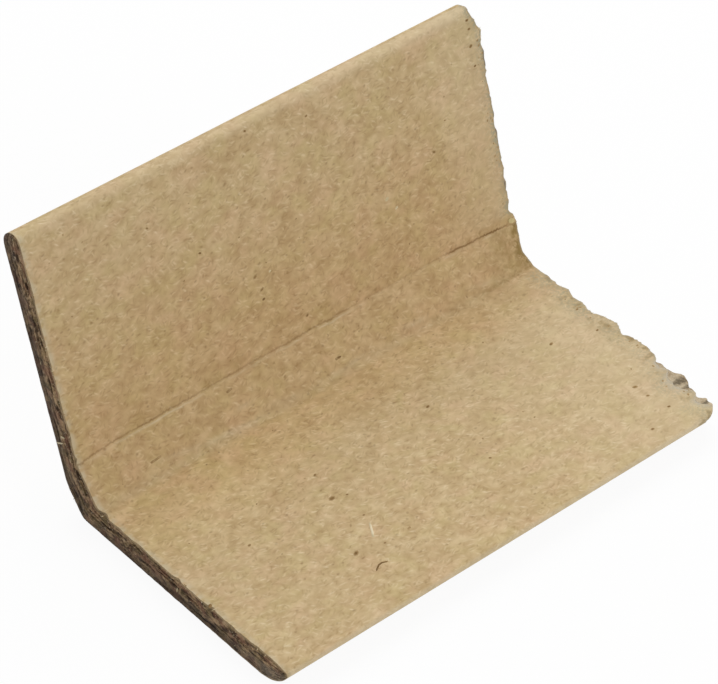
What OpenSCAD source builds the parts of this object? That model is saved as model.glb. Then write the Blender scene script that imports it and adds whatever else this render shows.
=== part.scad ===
// Edge protector for a pallet load: one angle of laminated kraft board.
// The section folds twice, at the corner and at a scored crease just above it.
// One end is a clean cut that shows the plies, the other is torn and ragged.

/* [Board] */
// Length from the clean cut to the furthest torn point
length = 97.2; // [40:0.5:300]
// Thickness of the laminated board
board_t = 5; // [3:0.1:7]
// Thickness of the facing paper wrapped around the plies
facing_t = 0.5; // [0.3:0.05:0.7]
// Thickness through the narrow strip, where the folds are pressed full
strip_t = 6.7; // [5:0.1:9]

/* [Legs] */
// Lower leg on its inside, from the corner to the tip
lower_leg = 49.3; // [30:0.1:100]
// Narrow strip on its inside, from the corner to the scored crease
strip_w = 8.3; // [6:0.1:20]
// Upper leg on its inside, from the scored crease to the top
upper_leg = 42.5; // [25:0.1:100]

/* [Folds] */
// Slope of the narrow strip above the flat lower leg, in degrees
strip_slope = 51; // [40:0.5:60]
// Slope of the upper leg above the flat lower leg, in degrees
upper_slope = 73.5; // [65:0.5:90]
// Radius inside the corner
corner_in_r = 1; // [0.5:0.1:3]
// Radius outside the corner
corner_out_r = 1.4; // [1:0.1:4]
// Radius outside the scored crease
crease_out_r = 8; // [2:0.5:12]
// Radius of the round-bottomed scored line
score_r = 0.5; // [0.3:0.05:0.8]
// Depth of the scored line in the facing
score_depth = 0.35; // [0.1:0.05:0.4]

/* [Long edges] */
// Radius of the underside where it turns up to the tip
tip_r = 8.5; // [5:0.1:12]
// Radius of the inside edge of the tip
tip_edge_r = 1; // [0.8:0.1:1.4]
// Radius of the outside edge along the top
top_out_r = 3; // [1:0.1:4]
// Radius of the inside edge along the top
top_in_r = 1.5; // [0.8:0.1:2]

/* [Cut end] */
// Number of plies between the two facings, an odd number
ply_count = 9; // [3:2:13]
// Depth that every second ply is set back at the clean cut
ply_setback = 0.3; // [0.1:0.05:1]

/* [Torn end] */
// Depth of the tear from the furthest point to the deepest bite
tear_depth = 4; // [1:0.1:8]

/* [Hidden] */
$fn = 72;
kraft = [0.76, 0.67, 0.52];
// Overlap of the cuts beyond the faces that they pass
margin = 1;
// Largest turn between two points of a rounded corner, in degrees
arc_step = 10;
// Least flat left between the two radii along the top
top_land = 0.2;
thickest = max(board_t, strip_t);
ply_t = (board_t - 2 * facing_t) / ply_count;
strip_ply_t = (strip_t - 2 * facing_t) / ply_count;
top_outer_r = min(top_out_r, board_t - top_in_r - top_land);

// Unit vectors of a panel with a given slope: up along it, and out of its outer face
function along(slope) = [cos(slope), sin(slope)];
function outward(slope) = [sin(slope), -cos(slope)];

// Corner points of the inside face, in the section's plane
corner = [0, board_t];
crease = corner + strip_w * along(strip_slope);
top = crease + upper_leg * along(upper_slope);
tip = [-lower_leg, board_t];

// Point below a fold of the inside face, at given depths under the panels on its two sides
function fold_point(fold, slope_a, depth_a, slope_b, depth_b) =
    fold + depth_a * outward(slope_a)
    + along(slope_a) * (depth_b - depth_a * cos(slope_b - slope_a)) / sin(slope_b - slope_a);
function at_corner(depth, strip_depth) = fold_point(corner, 0, depth, strip_slope, strip_depth);
function at_crease(strip_depth, depth) = fold_point(crease, strip_slope, strip_depth, upper_slope, depth);

// Centres of the arcs that round the section's corners
under_centre = [tip[0] + sqrt(tip_r ^ 2 - (tip_r - board_t) ^ 2), tip_r];
edge_drop = tip_r - board_t + tip_edge_r;
edge_centre = [
    under_centre[0] - sqrt((tip_r - tip_edge_r) ^ 2 - edge_drop ^ 2),
    board_t - tip_edge_r
];
corner_in_centre = at_corner(-corner_in_r, -corner_in_r);
corner_out_centre = at_corner(board_t - corner_out_r, strip_t - corner_out_r);
crease_out_centre = at_crease(strip_t - crease_out_r, board_t - crease_out_r);
top_in_centre = top + top_in_r * (outward(upper_slope) - along(upper_slope));
top_out_centre = top
    + (board_t - top_outer_r) * outward(upper_slope)
    - top_outer_r * along(upper_slope);

// Front and back of the section, and the middle that the part's origin lies under
front_y = edge_centre[0] - tip_edge_r;
back_y = top_out_centre[0] + top_outer_r;
middle_y = (front_y + back_y) / 2;

// Torn edge of each panel from the tip upwards: share of the panel's width, share of the tear's depth
lower_tear = [
    [0, 1], [0.04, 0.72], [0.07, 0.45], [0.11, 0.65], [0.13, 0.67], [0.18, 0.35], [0.24, 0.18],
    [0.27, 0.4], [0.3, 0.4], [0.36, 0.22], [0.45, 0.12], [0.52, 0.32], [0.58, 0.08], [0.64, 0.15],
    [0.66, 0.3], [0.75, 0.2], [0.78, 0.3], [0.82, 0.12], [0.87, 0.25], [0.9, 0.17], [1, 0.17]
];
strip_tear = [[0, 0.17], [0.28, 0.35], [0.46, 0.33], [0.63, 0.25], [0.8, 0.17], [1, 0]];
upper_tear = [
    [0, 0], [0.04, 0.2], [0.43, 0.22], [0.51, 0.12], [0.59, 0.22], [0.66, 0.2], [0.71, 0.08],
    [0.8, 0.08], [0.82, 0.17], [0.88, 0.05], [0.91, 0.22], [0.95, 0.36], [1, 0.52]
];

// Points along an arc between two angles
function arc(centre, r, from, to) =
    let (steps = ceil(abs(to - from) / arc_step))
    [for (i = [0:steps]) centre + r * along(from + (to - from) * i / steps)];
function without_first(points) = [for (i = [1:len(points) - 1]) points[i]];

// Rounded outline of the folded board, drawn in from its faces by an inset
module section(inset) {
    lean = edge_centre - under_centre;
    lean_angle = 360 + atan2(lean[1], lean[0]);
    up_face = upper_slope + 90;
    back_face = upper_slope - 90;
    strip_face = strip_slope - 90;
    polygon(concat(
        without_first(arc(edge_centre, tip_edge_r - inset, lean_angle, 90)),
        arc(corner_in_centre, corner_in_r + inset, -90, strip_face),
        [at_crease(inset, inset)],
        arc(top_in_centre, top_in_r - inset, up_face, upper_slope),
        arc(top_out_centre, top_outer_r - inset, upper_slope, back_face),
        arc(crease_out_centre, crease_out_r - inset, back_face, strip_face),
        arc(corner_out_centre, corner_out_r - inset, strip_face, -90),
        arc(under_centre, tip_r - inset, 270, lean_angle)
    ));
}

// One ply of the core, as a band that follows the folds and runs past both ends
module ply_band(i) {
    near = facing_t + i * ply_t;
    strip_near = facing_t + i * strip_ply_t;
    far = near + ply_t;
    strip_far = strip_near + strip_ply_t;
    polygon([
        tip + near * outward(0) - margin * along(0),
        at_corner(near, strip_near),
        at_crease(strip_near, near),
        top + near * outward(upper_slope) + margin * along(upper_slope),
        top + far * outward(upper_slope) + margin * along(upper_slope),
        at_crease(strip_far, far),
        at_corner(far, strip_far),
        tip + far * outward(0) - margin * along(0)
    ]);
}

// Scored line along the inside of the crease
module score() {
    mean_slope = (strip_slope + upper_slope) / 2;
    translate(crease - (score_r - score_depth) * outward(mean_slope)) circle(score_r);
}

// Stand a shape in the section's plane on the part's YZ plane and run it along X
module run_along(from_x, to_x) {
    translate([from_x, 0, 0]) rotate([90, 0, 90]) linear_extrude(to_x - from_x) children();
}

// Plies that are set back at the clean cut, every second one of the core
module ply_setbacks() {
    for (i = [1:2:ply_count - 1]) {
        run_along(-length / 2 - margin, -length / 2 + ply_setback) intersection() {
            section(facing_t);
            ply_band(i);
        }
    }
}

// What the tear takes off one panel, cut square through the board
module tear_waste(start, slope, width, edge) {
    first = edge[0];
    last = edge[len(edge) - 1];
    beyond = length / 2 + 2 * margin;
    torn = [for (p = edge) [p[0] * width, length / 2 - p[1] * tear_depth]];
    translate([0, start[0], start[1]]) rotate([slope, 0, 0]) rotate([180, 0, 90])
        translate([0, 0, -margin]) linear_extrude(thickest + 2 * margin) polygon(concat(
            [[-thickest, beyond], [-thickest, length / 2 - first[1] * tear_depth]],
            torn,
            [[width + thickest, length / 2 - last[1] * tear_depth], [width + thickest, beyond]]
        ));
}

module angle_board() {
    color(kraft) translate([0, -middle_y, 0]) difference() {
        run_along(-length / 2, length / 2 + margin) difference() {
            section(0);
            score();
        }
        ply_setbacks();
        tear_waste(tip, 0, lower_leg, lower_tear);
        tear_waste(corner, strip_slope, strip_w, strip_tear);
        tear_waste(crease, upper_slope, upper_leg, upper_tear);
    }
}

angle_board();
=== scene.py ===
import math

import bmesh
import bpy
import numpy as np
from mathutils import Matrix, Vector
from mathutils.bvhtree import BVHTree


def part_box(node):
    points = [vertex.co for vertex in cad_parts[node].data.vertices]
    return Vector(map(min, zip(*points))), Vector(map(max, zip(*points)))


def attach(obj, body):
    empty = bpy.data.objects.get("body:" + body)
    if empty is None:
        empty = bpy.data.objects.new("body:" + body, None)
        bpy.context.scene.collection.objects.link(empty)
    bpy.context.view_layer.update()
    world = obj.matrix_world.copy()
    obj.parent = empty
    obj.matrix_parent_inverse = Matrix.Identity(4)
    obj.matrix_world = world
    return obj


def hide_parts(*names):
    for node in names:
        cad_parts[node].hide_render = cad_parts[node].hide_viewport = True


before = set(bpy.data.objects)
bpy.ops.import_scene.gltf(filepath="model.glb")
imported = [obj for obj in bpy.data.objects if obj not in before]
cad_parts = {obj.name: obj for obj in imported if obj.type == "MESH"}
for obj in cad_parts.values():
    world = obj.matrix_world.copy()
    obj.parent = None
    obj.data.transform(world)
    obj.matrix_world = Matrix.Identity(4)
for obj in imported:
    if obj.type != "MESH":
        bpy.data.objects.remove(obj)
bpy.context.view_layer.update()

# Sizes of the folded board, in millimetres and degrees
MM = 0.001
BOARD_T = 5.0
FACING_T = 0.5
STRIP_T = 6.7
LOWER_LEG = 48.8
STRIP_W = 8.3
UPPER_LEG = 42.5
STRIP_SLOPE = 51.0
UPPER_SLOPE = 73.5
CORNER_IN_R = 1.8
CORNER_OUT_R = 1.4
CREASE_OUT_R = 8.0
TIP_R = 8.5
TIP_EDGE_R = 0.6
TOP_OUT_R = 3.0
TOP_IN_R = 1.5
PLY_COUNT = 9
PLY_SETBACK = 0.3
FACING_SHARE = FACING_T / BOARD_T

# Place of the board in the part's frame, in millimetres
BOX_LOW, BOX_HIGH = (np.array(corner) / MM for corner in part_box("angle_board"))
CUT_X = BOX_LOW[0]
LENGTH = BOX_HIGH[0] - BOX_LOW[0]


# Noise

# Whole numbers that scramble a lattice cell and a seed into a random value
AXIS_PRIMES = (73856093, 19349663, 83492791)
SEED_PRIME = 2654435761
SCRAMBLES = ((13, 1274126177), (16, 668265263))
HASH_SIZE = 2**31

# Noises of the shapes and tones: level, swing to either side, seed, cell in millimetres
NOISES = {
    "wave": (0, 0.07, 1, 24.0),
    "ripple": (0, 0.03, 2, 9.0),
    "rough": (0, 0.015, 3, 2.4),
    "score wander": (0, 0.12, 11, 5.0),
    "score jog": (0, 0.13, 13, 1.6),
    "score kink": (0, 0.06, 15, 0.7),
    "press": (1, 0.3, 12, 2.0),
    "ridge": (0.7, 0.5, 14, 1.5),
    "cut edge": (0.03, 0.03, 21, 0.8),
    "cut nick": (0, 0.12, 23, 1.6),
    "cut drift": (0, 0.12, 24, 5.0),
    "torn back": (0.12, 0.12, 31, 1.7),
    "underside torn": (0, 0.5, 35, 5.0),
    "notch": (0, 1, 41, 2.6),
    "tooth": (0, 0.15, 43, 1.1),
    "fine tooth": (0, 0.17, 45, 0.45),
    "curl": (0, 0.14, 51, 2.3),
    "ply kept": (0.45, 0.8, 61, 3.0),
    "cut lump": (0, 0.1, 62, 0.9),
    "cut grain": (0, 0.07, 63, 0.45),
    "ply line": (0, 0.012, 64, 1.4),
    "core lump": (0, 0.3, 71, 1.1),
    "core layer": (0, 0.3, 72, 2.6),
    "torn grain": (0, 0.015, 73, 0.6),
    "patches": (0.6, 0.5, 83, 1.0),
    "clouds": (1, 0.5, 84, 2.0),
    "lip": (0.9, 1.1, 85, 1.8),
    "flecks": (0, 1, 86, 1.0),
}


def value_noise(seed, cell, *coords):
    """Smooth noise from -1 to 1 over any number of coordinates, with one random value per lattice cell."""
    grid = [np.asarray(c, float) / cell for c in np.broadcast_arrays(*coords)]
    base = [np.floor(g).astype(np.int64) for g in grid]
    ease = [(g - b) ** 2 * (3 - 2 * (g - b)) for g, b in zip(grid, base)]
    total = np.zeros(grid[0].shape)
    for corner in range(2 ** len(grid)):
        steps = [corner >> axis & 1 for axis in range(len(grid))]
        key = np.full(grid[0].shape, seed * SEED_PRIME % HASH_SIZE, np.int64)
        weight = np.ones(grid[0].shape)
        for low, share, step, prime in zip(base, ease, steps, AXIS_PRIMES):
            key = key ^ ((low + step) * prime)
            weight = weight * (share if step else 1 - share)
        for shift, prime in SCRAMBLES:
            key = (key ^ (key >> shift)) * prime % HASH_SIZE
        total = total + weight * (2 * key / HASH_SIZE - 1)
    return total


def noise(kind, *coords, side=0):
    """One of the noises, at given coordinates. The number of the side gives each face a seed of its own."""
    level, swing, seed, cell = NOISES[kind]
    return level + swing * value_noise(seed + side, cell, *coords)


def smooth(value, low, high):
    """Eased step from 0 at low to 1 at high."""
    t = np.clip((np.asarray(value, float) - low) / (high - low), 0, 1)
    return t * t * (3 - 2 * t)


def bump(value, centre, width):
    """Bell curve around a centre."""
    return np.exp(-(((np.asarray(value, float) - centre) / width) ** 2))


def plateau(value, centre, width):
    """Bell curve with a flat top."""
    return np.exp(-(((value - centre) / width) ** 4))


# Section of the board


def along(slope):
    a = math.radians(slope)
    return np.array([math.cos(a), math.sin(a)])


def outward(slope):
    a = math.radians(slope)
    return np.array([math.sin(a), -math.cos(a)])


def fold_point(fold, slope_a, depth_a, slope_b, depth_b):
    """Point under a fold of the inside face, at given depths under the panels on its two sides."""
    turn = math.radians(slope_b - slope_a)
    run = (depth_b - depth_a * math.cos(turn)) / math.sin(turn)
    return fold + depth_a * outward(slope_a) + run * along(slope_a)


ARC_POINTS = 24


def arc(centre, r, start, stop):
    angles = np.radians(np.linspace(start, stop, ARC_POINTS))
    return centre + r * np.stack([np.cos(angles), np.sin(angles)], 1)


class Path:
    """A line across the section, measured by its length from the tip of the lower leg."""

    STEP = 0.02

    def __init__(self, pieces):
        points = np.concatenate([np.atleast_2d(p) for p in pieces])
        lengths = self.measure(points)
        count = int(lengths[-1] / self.STEP)
        self.lengths = np.linspace(0, lengths[-1], count)
        self.points = self.spread(points, lengths, self.lengths)

    @staticmethod
    def measure(points):
        return np.concatenate([[0], np.cumsum(np.linalg.norm(np.diff(points, axis=0), axis=1))])

    @staticmethod
    def spread(points, lengths, wanted):
        return np.stack([np.interp(wanted, lengths, points[:, axis]) for axis in (0, 1)], -1)

    def at(self, wanted):
        return self.spread(self.points, self.lengths, wanted)

    def near(self, point):
        return self.lengths[np.argmin(np.linalg.norm(self.points - point, axis=1))]


corner = np.array([0, BOARD_T])
crease = corner + STRIP_W * along(STRIP_SLOPE)
top = crease + UPPER_LEG * along(UPPER_SLOPE)
under_centre = np.array([math.sqrt(TIP_R**2 - (TIP_R - BOARD_T) ** 2) - LOWER_LEG, TIP_R])
edge_drop = TIP_R - BOARD_T + TIP_EDGE_R
edge_centre = np.array([
    under_centre[0] - math.sqrt((TIP_R - TIP_EDGE_R) ** 2 - edge_drop**2),
    BOARD_T - TIP_EDGE_R,
])
lean_angle = 180 + math.degrees(math.atan2(*(under_centre - edge_centre)[::-1]))
corner_in_centre = fold_point(corner, 0, -CORNER_IN_R, STRIP_SLOPE, -CORNER_IN_R)
corner_out_centre = fold_point(corner, 0, BOARD_T - CORNER_OUT_R, STRIP_SLOPE, STRIP_T - CORNER_OUT_R)
crease_out_centre = fold_point(
    crease, STRIP_SLOPE, STRIP_T - CREASE_OUT_R, UPPER_SLOPE, BOARD_T - CREASE_OUT_R
)
top_in_centre = top + TOP_IN_R * (outward(UPPER_SLOPE) - along(UPPER_SLOPE))
top_out_centre = top + (BOARD_T - TOP_OUT_R) * outward(UPPER_SLOPE) - TOP_OUT_R * along(UPPER_SLOPE)
top_middle = top + (TOP_IN_R + BOARD_T - TOP_OUT_R) / 2 * outward(UPPER_SLOPE)
strip_face = STRIP_SLOPE - 90
back_face = UPPER_SLOPE - 90
corner_y = BOX_HIGH[1] - TOP_OUT_R - top_out_centre[0]

inside = Path([
    arc(edge_centre, TIP_EDGE_R, 180, 90),
    arc(corner_in_centre, CORNER_IN_R, -90, strip_face),
    crease,
    arc(top_in_centre, TOP_IN_R, UPPER_SLOPE + 90, UPPER_SLOPE),
    top_middle,
])
outside = Path([
    arc(edge_centre, TIP_EDGE_R, 180, lean_angle),
    arc(under_centre, TIP_R, lean_angle, 270),
    arc(corner_out_centre, CORNER_OUT_R, -90, strip_face),
    arc(crease_out_centre, CREASE_OUT_R, strip_face, back_face),
    arc(top_out_centre, TOP_OUT_R, back_face, UPPER_SLOPE),
    top_middle,
])

# Points of the inside that stand over points of the outside, so that the plies follow the folds
FOLD_REACH = 6.0
edge_top = edge_centre + [0, TIP_EDGE_R]
under_edge = [edge_top[0], TIP_R - math.sqrt(TIP_R**2 - (edge_top[0] - under_centre[0]) ** 2)]
fold_start = np.array([-FOLD_REACH, BOARD_T])
fold_end = crease + FOLD_REACH * along(UPPER_SLOPE)
top_start = top - TOP_OUT_R * along(UPPER_SLOPE)
through = BOARD_T * outward(UPPER_SLOPE)
MATCHES = [
    (edge_top, under_edge),
    ([under_centre[0], BOARD_T], [under_centre[0], 0]),
    (fold_start, fold_start - [0, BOARD_T]),
    (
        corner_in_centre + CORNER_IN_R * outward(STRIP_SLOPE / 2),
        corner_out_centre + CORNER_OUT_R * outward(STRIP_SLOPE / 2),
    ),
    (crease, crease_out_centre + CREASE_OUT_R * outward((STRIP_SLOPE + UPPER_SLOPE) / 2)),
    (fold_end, fold_end + through),
    (top_start, top_start + through),
]
U_CORNER = inside.near(corner)
U_CREASE = inside.near(crease)
U_TIP = inside.near(edge_top)
U_TOP = inside.near(top_start)
U_END = inside.lengths[-1]


def stations(stops, spacings):
    """Places along a line between stops, with a spacing of its own for each stretch."""
    parts = [
        np.linspace(a, b, max(2, round((b - a) / gap) + 1))[:-1]
        for a, b, gap in zip(stops, stops[1:], spacings)
    ]
    return np.concatenate(parts + [[stops[-1]]])


# Spacing of the columns along the section
FINE_GAP = 0.2
FACE_GAP = 0.42
FOLD_GAP = 0.35
CREASE_GAP = 0.1
# Reach of the finer columns: past the tip's edge, below the corner, and below and above the scored fold
TIP_REACH = 1.0
CORNER_REACH = 4.0
CREASE_BELOW = 0.9
CREASE_ABOVE = 1.9
columns = stations(
    [
        0, U_TIP + TIP_REACH, U_CORNER - CORNER_REACH,
        U_CREASE - CREASE_BELOW, U_CREASE + CREASE_ABOVE, U_TOP, U_END,
    ],
    [FINE_GAP, FACE_GAP, FOLD_GAP, CREASE_GAP, FACE_GAP, FINE_GAP],
)
inner = inside.at(columns)
outer_columns = np.interp(
    columns,
    [0] + [inside.near(np.array(a)) for a, b in MATCHES] + [U_END],
    [0] + [outside.near(np.array(b)) for a, b in MATCHES] + [outside.lengths[-1]],
)
outer = outside.at(outer_columns)
thickness = np.linalg.norm(inner - outer, axis=1)
facing_way = (inner - outer)[1:-1] / thickness[1:-1, None]
facing_way = np.concatenate([facing_way[:1], facing_way, facing_way[-1:]])
fullness = np.clip(thickness / BOARD_T, 0, 1)

# Relief of the faces

# Where the scored line runs: distance from the cut end, distance up the leg from the plain fold
SCORE_RUN = (
    [0, 8, 26, 56, 80, 88, 93, 97],
    [0.1, 0.65, 1.0, 1.15, 1.25, 0.9, 0.55, -0.2],
)
SCORE_DEPTH = 0.15
SCORE_W = 0.22
LIP = 0.08
LIP_OFFSET = 0.7
LIP_W = 0.3
# How hard the crease is pressed along the board, which also sets the strength of the painted shade along it:
# distance from the cut end, share of the full mark
PRESSED = (
    [0, 15, 40, 55, 62, 72, 79, 82, 93, 95, 97],
    [0.34, 0.36, 0.24, 0.34, 0.14, 0.1, 0.2, 0.5, 0.6, 0.35, 0.25],
)
# Ridges crumpled up along the corner: start and end, as distances from the cut end and up the strip
RIDGES = [
    (12, 2.5, 24, 0.7), (23, 0.8, 35, 0.1), (30, 3.5, 34, 3.1), (37, 1.2, 43, 0.3), (50, 0.4, 58, 0.9),
    (66, 1.7, 72, 1.2), (82, 1.9, 89, 0.9),
]
RIDGE = 0.07
RIDGE_W = 0.45
# How far a ridge fades outside and inside its ends
RIDGE_FADE = (1.0, 2.0)
# Fold line in the corner, a shallow dip darkened with painted shade, with the distances from the cut end
# between which it fades in
FOLD_LINE_START = (80, 86)
FOLD_LINE_UP = 0.1
FOLD_LINE = 0.12
FOLD_LINE_W = 0.4
# Half width of the bend over which the strip comes forward
STRIP_BEND = 1.5


def ridges(x, u):
    """Share of a full ridge at each place of the inside face."""
    before, within = RIDGE_FADE
    total = np.zeros(np.broadcast(x, u).shape)
    for x0, up0, x1, up1 in RIDGES:
        middle = U_CORNER + np.interp(x, [x0, x1], [up0, up1])
        length = smooth(x, x0 - before, x0 + within) * (1 - smooth(x, x1 - within, x1 + before))
        total = total + bump(u, middle, RIDGE_W) * length
    return total * noise("ridge", x, u)


def fold_line(x, u):
    """Share of the full fold line at each place of the inside face."""
    return bump(u, U_CORNER + FOLD_LINE_UP, FOLD_LINE_W) * smooth(x, *FOLD_LINE_START)


def score_run(x):
    return np.interp(x, *SCORE_RUN)


def score_offset(x, u):
    """Distance across the wandering scored line, positive towards the upper leg."""
    wander = noise("score wander", x) + noise("score jog", x) + noise("score kink", x)
    return u - U_CREASE - score_run(x) - wander


def strip_rise(x, u):
    """Height that brings the strip forward, so that it meets the upper leg at the scored line."""
    run = score_run(x)
    from_corner = smooth(u, U_CORNER - STRIP_BEND, U_CORNER + STRIP_BEND)
    to_line = np.clip(1 - (u - U_CREASE) / np.maximum(run, CREASE_GAP), 0, 1)
    return run * math.sin(math.radians(UPPER_SLOPE - STRIP_SLOPE)) * from_corner * to_line


def pressed(x):
    return np.interp(x, *PRESSED) * noise("press", x)


def wave(x, u):
    return noise("wave", x, u) + noise("ripple", x, u)


def inside_relief(x, u):
    """Height of the inside face above its plain form."""
    off = score_offset(x, u)
    groove = -SCORE_DEPTH * bump(off, 0, SCORE_W) * pressed(x)
    lip = LIP * bump(off, -LIP_OFFSET, LIP_W) * pressed(x)
    folds = RIDGE * ridges(x, u) - FOLD_LINE * fold_line(x, u)
    return wave(x, u) + noise("rough", x, u) + strip_rise(x, u) + groove + lip + folds


def outside_relief(x, u):
    return wave(x, u) + noise("rough", x, u, side=1)


# Ends of the board

# Deeper bites in the facing along the cut: distance along the inside, width, depth
CUT_BITES = [
    (3.2, 2.0, 0.15), (6.5, 4.5, 0.3), (19.2, 0.6, 0.3), (27.9, 0.6, 0.35), (37.6, 1.5, 0.2),
    (U_CORNER - 1.3, 1.0, 0.6), (58.0, 0.4, 0.25),
]
# Places where the facing is torn back from the core: distance along the inside, half width, depth
TORN_BACK = [
    (U_CORNER - 33.2, 1.3, 0.9),
    (U_CORNER - 38.6, 2.7, 2.4),
    (U_CORNER - 44.8, 1.6, 1.4),
    (U_CREASE + 8.5, 2.5, 0.45),
    (U_CREASE + 20, 4.0, 0.2),
    (U_CREASE + 31, 3.0, 0.4),
]
# Underside of the tip, torn back further than the rest: distance along the outside, half width, depth
TIP_TORN = (2.0, 6.0, 1.6)
# Radius of the tip's corner, worn round at the torn end
TIP_ROUND = 2.4
# Holes in the torn core, sunk and darkened with painted shade: distance along the inside, depth as a share
# of the board, half width, depth
HOLES = [
    (U_CORNER - 31.9, 0.1, 0.45, 0.5),
    (U_CORNER - 38.4, 0.07, 0.75, 0.9),
    (U_CORNER - 40.3, 0.1, 0.5, 0.6),
    (U_CORNER - 45.2, 0.08, 0.5, 0.6),
]
HOLE_DEPTH_W = 0.07
# Lumps of the torn core that stand out further: distance along the inside, half width, height
SWELLS = [
    (U_CORNER - 36.8, 2.5, 0.65),
    (U_CORNER - 44.6, 1.5, 0.8),
    (U_CREASE + 22.0, 22.0, 0.3),
]
# Step of the tear at the crease: distance up from the crease, distance past the end of the solid
TEAR_STEP = (
    [-5, -0.5, 0.1, 0.9, 2.5, 4.5, 7],
    [0, 0.55, 0.55, -0.2, -0.75, -0.5, 0],
)
# Notches of the tear: depth, values of the noise between which the edge drops, share that stands proud
NOTCH = 0.22
NOTCH_DROP = (-0.15, 0.2)
NOTCH_PROUD = 0.7
# How ragged the tear is: distance along the inside, share of the full teeth
RAGGED = (
    [1, 4, U_CORNER - 4, U_CORNER - 1, U_CREASE + 1, U_CREASE + 4],
    [0.3, 1, 1, 0.2, 0.2, 0.6],
)
CURL_REACH = 0.7
# Lengths of board that the cut's and the tear's outlines are spread over, and that frays
CUT_ZONE = 2.0
TEAR_ZONE = 12.0
FRAY_ZONE = 6.0
# Rows of the faces: distances from the cut end where their spacing changes, and the spacings
ROW_STOPS = [0, 1.5, 4, LENGTH - TEAR_ZONE, LENGTH - FRAY_ZONE, LENGTH]
ROW_GAPS = [0.15, 0.5, 1.15, 0.75, 0.26]
rows = stations(ROW_STOPS, ROW_GAPS)


def facing_cut(u, side):
    """How far the facing's edge lies behind the clean cut."""
    edge = noise("cut edge", u, side=side)
    if side == 0:
        edge = edge + (noise("cut nick", u) + noise("cut drift", u)).clip(0)
        for place, width, depth in CUT_BITES:
            edge = edge + depth * bump(u, place, width)
    return edge


def facing_torn_back(u, side):
    """How far the facing's edge lies behind the torn core."""
    back = noise("torn back", u, side=side)
    if side == 0:
        for place, width, depth in TORN_BACK:
            back = back + depth * plateau(u, place, width)
    else:
        place, width, depth = TIP_TORN
        back = back + noise("underside torn", u).clip(0) + depth * bump(u, place, width)
    return back


def solid_reach():
    """Distance from the cut end at which the solid ends, at each column of the section."""
    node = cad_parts["angle_board"].data
    tree = BVHTree.FromPolygons([v.co for v in node.vertices], [p.vertices for p in node.polygons])
    middle = (inner + outer) / 2
    beyond = BOX_HIGH[0] + BOARD_T
    found = []
    for y, z in middle[2:-2]:
        start = Vector((beyond, y + corner_y, z)) * MM
        hit = tree.ray_cast(start, Vector((-1, 0, 0)))[0]
        found.append(hit.x / MM - CUT_X)
    return np.array(found[:1] * 2 + found + found[-1:] * 2)


reach = solid_reach() + np.interp(columns - U_CREASE, *TEAR_STEP)


def tip_worn(u):
    """How far the corner of the tip is worn back at the torn end."""
    within = np.clip(TIP_ROUND - u, 0, TIP_ROUND)
    return TIP_ROUND - np.sqrt(TIP_ROUND**2 - within**2)


def torn_edge(u, side):
    """Distance from the cut end at which the facing of one side ends, at each column."""
    notches = NOTCH * (smooth(noise("notch", u, side=side), *NOTCH_DROP) - NOTCH_PROUD)
    teeth = notches + noise("tooth", u, side=side) + noise("fine tooth", u, side=side)
    return reach - facing_torn_back(u, side) + np.interp(u, *RAGGED) * teeth - tip_worn(u)


inside_end = torn_edge(columns, 0)
outside_end = torn_edge(outer_columns, 1)


def row_places(start, end):
    """Places along X of every row, from the cut edge to the torn edge of each column."""
    near_cut = 1 - smooth(rows, 0, CUT_ZONE)
    tail = np.clip((rows - (LENGTH - TEAR_ZONE)) / TEAR_ZONE, 0, 1)
    return rows[:, None] + near_cut[:, None] * start + tail[:, None] * (end - LENGTH)


def shell_surface(u, base, way, relief, start, end):
    """Points of one face, by row and column, with their distances from the cut end."""
    x = row_places(start, end)
    height = relief(x, u) * fullness
    height = height + np.exp((x - end) / CURL_REACH) * fullness * noise("curl", u).clip(0)
    points = base + height[..., None] * way
    return x, points


def placed(x, section):
    """Points in the part's frame, in metres, from distances along the board and section points."""
    y = section[..., 0] + corner_y
    z = np.maximum(section[..., 1], 0)
    return np.stack([x + CUT_X, y, z], -1) * MM


# The board's mesh, as a ring of columns around the section and two end caps

# Points across the cut: shares of each facing and of each ply
FACING_POINTS = (0.5, 0.95)
PLY_POINTS = (0.08, 0.36, 0.64, 0.92)
PLY_SHARE = (1 - 2 * FACING_SHARE) / PLY_COUNT
# Shares of the full set-back kept by the even plies, by the facings and at most
EVEN_SETBACK = 0.3
FACING_SETBACK = 0.7
MOST_SETBACK = 1.2
# How far the plies lie behind the clean cut, and how far they may stand out of it
CUT_REST = 0.05
CUT_PROUD = 0.05
# Distances between plies in the coordinates of their noises, so that no two plies look alike
SETBACK_APART = 50.0
LINE_APART = 20.0
LAYER_APART = 40.0
# Depths of the points across the tear, closer together under the facings
TORN_LEDGE = [0.02, 0.035, 0.05, 0.06, 0.07, 0.08, 0.09, 0.1]
TORN_MIDDLE = [0.12 + 0.04 * i for i in range(20)]
TORN_LAST = [0.92, 0.94, 0.96, 0.98]
# How far the torn core sinks as a rule and at most, and how far it may stand out
CORE_SINK = 0.3
CORE_DEEPEST = 1.2
CORE_OVER = 0.1
# Reach past the tip within which the core slopes back to the underside, and the depth where that starts
TIP_SLOPE_REACH = 5.0
TIP_SLOPE_START = 0.2
# Depth under each face over which the grain of the tear fades in
TORN_RIM = 0.1


def ply_depths():
    """Depths across the cut end, with a few points in every ply and each facing."""
    first = [FACING_SHARE * share for share in FACING_POINTS]
    last = [1 - d for d in reversed(first)]
    middle = [FACING_SHARE + PLY_SHARE * (i + share) for i in range(PLY_COUNT) for share in PLY_POINTS]
    return np.array(first + middle + last)


def ply_at(depth):
    """Number of the ply at a depth, -1 in the inside facing and PLY_COUNT in the outside one."""
    return np.floor((depth - FACING_SHARE) / PLY_SHARE).clip(-1, PLY_COUNT).astype(int)


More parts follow.
